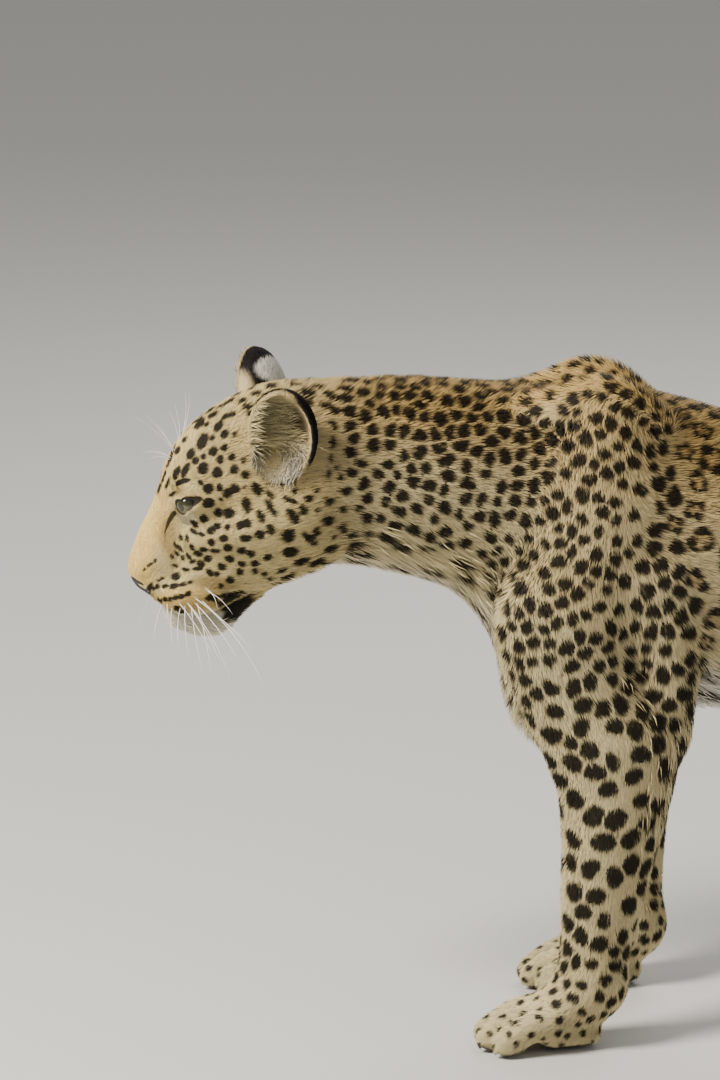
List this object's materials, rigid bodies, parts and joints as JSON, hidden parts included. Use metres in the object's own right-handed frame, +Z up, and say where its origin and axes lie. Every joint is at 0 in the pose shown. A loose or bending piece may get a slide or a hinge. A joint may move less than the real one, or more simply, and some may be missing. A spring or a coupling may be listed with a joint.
{
  "type": "leopard animal figure",
  "caption": "Life-size standing leopard with its head held low and forward, legs planted and tail hanging, as one still figure.",
  "frame": {"origin": "on the floor, under the middle of the whole figure's outline", "axes": "+X from the nose towards the tail, +Y to the animal's right, +Z up"},
  "size_m": [1.6288, 0.2806, 0.6432],
  "materials": {
    "coat": "hide with short dense fur, tan with near-black spots and rosettes",
    "pale_coat": "hide with short dense fur, cream",
    "ear": "thin hide, black fur behind and pale hair inside",
    "nose_leather": "bare, finely pebbled and slightly moist",
    "eye": "polished, greenish grey iris with a round dark pupil"
  },
  "bodies": {
    "root": {"head": "coat", "lower_jaw": "pale_coat", "nose": "nose_leather", "eye_left": "eye", "eye_right": "eye", "ear_left": "ear", "ear_right": "ear", "neck": "coat", "chest": "coat", "hindquarters": "coat", "tail_base": "coat", "tail_middle": "coat", "tail_tip": "coat", "front_leg_left": "coat", "front_leg_right": "coat", "front_paw_left": "pale_coat", "front_paw_right": "pale_coat", "hind_leg_left": "coat", "hind_leg_right": "coat", "hind_paw_left": "pale_coat", "hind_paw_right": "pale_coat"}
  },
  "joints": []
}
